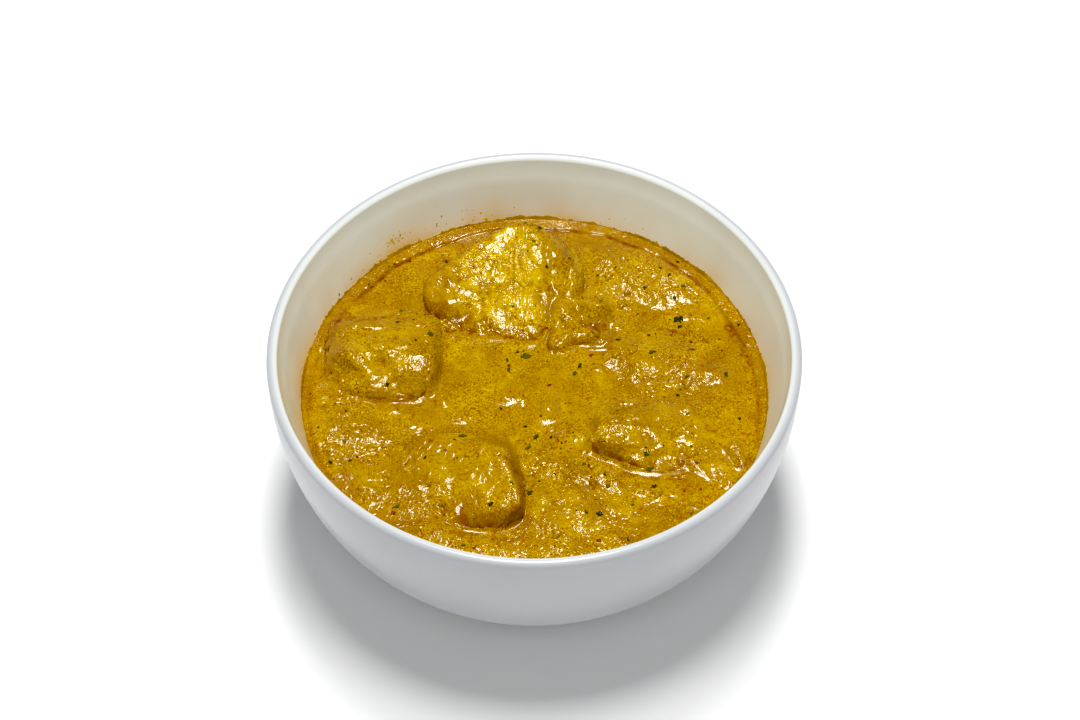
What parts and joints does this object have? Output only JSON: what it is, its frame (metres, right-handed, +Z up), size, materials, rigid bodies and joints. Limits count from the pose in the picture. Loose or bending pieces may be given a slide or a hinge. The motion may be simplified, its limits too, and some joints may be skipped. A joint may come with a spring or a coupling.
{
  "type": "chicken curry in a serving bowl",
  "caption": "Round white porcelain bowl filled with yellow chicken curry; chunks of chicken and flecks of green herb stand out of the thick sauce.",
  "frame": {"origin": "middle of the circle that the bowl's foot ring stands on", "axes": "+Z up, -Y towards the diner, +X to the diner's right"},
  "size_m": [0.15, 0.15, 0.07],
  "materials": {
    "porcelain": "white clear glaze",
    "curry_sauce": "wet, thick and grainy, golden yellow-brown",
    "chicken": "wet, coated in sauce, bright yellow where the meat shows",
    "herb": "wet chopped leaf",
    "chilli": "wet red flakes"
  },
  "bodies": {
    "root": {"bowl": "porcelain", "curry": "curry_sauce", "chicken_back": "chicken", "chicken_left": "chicken", "chicken_front": "chicken", "chicken_right": "chicken", "chicken_shred": "chicken"}
  },
  "joints": []
}
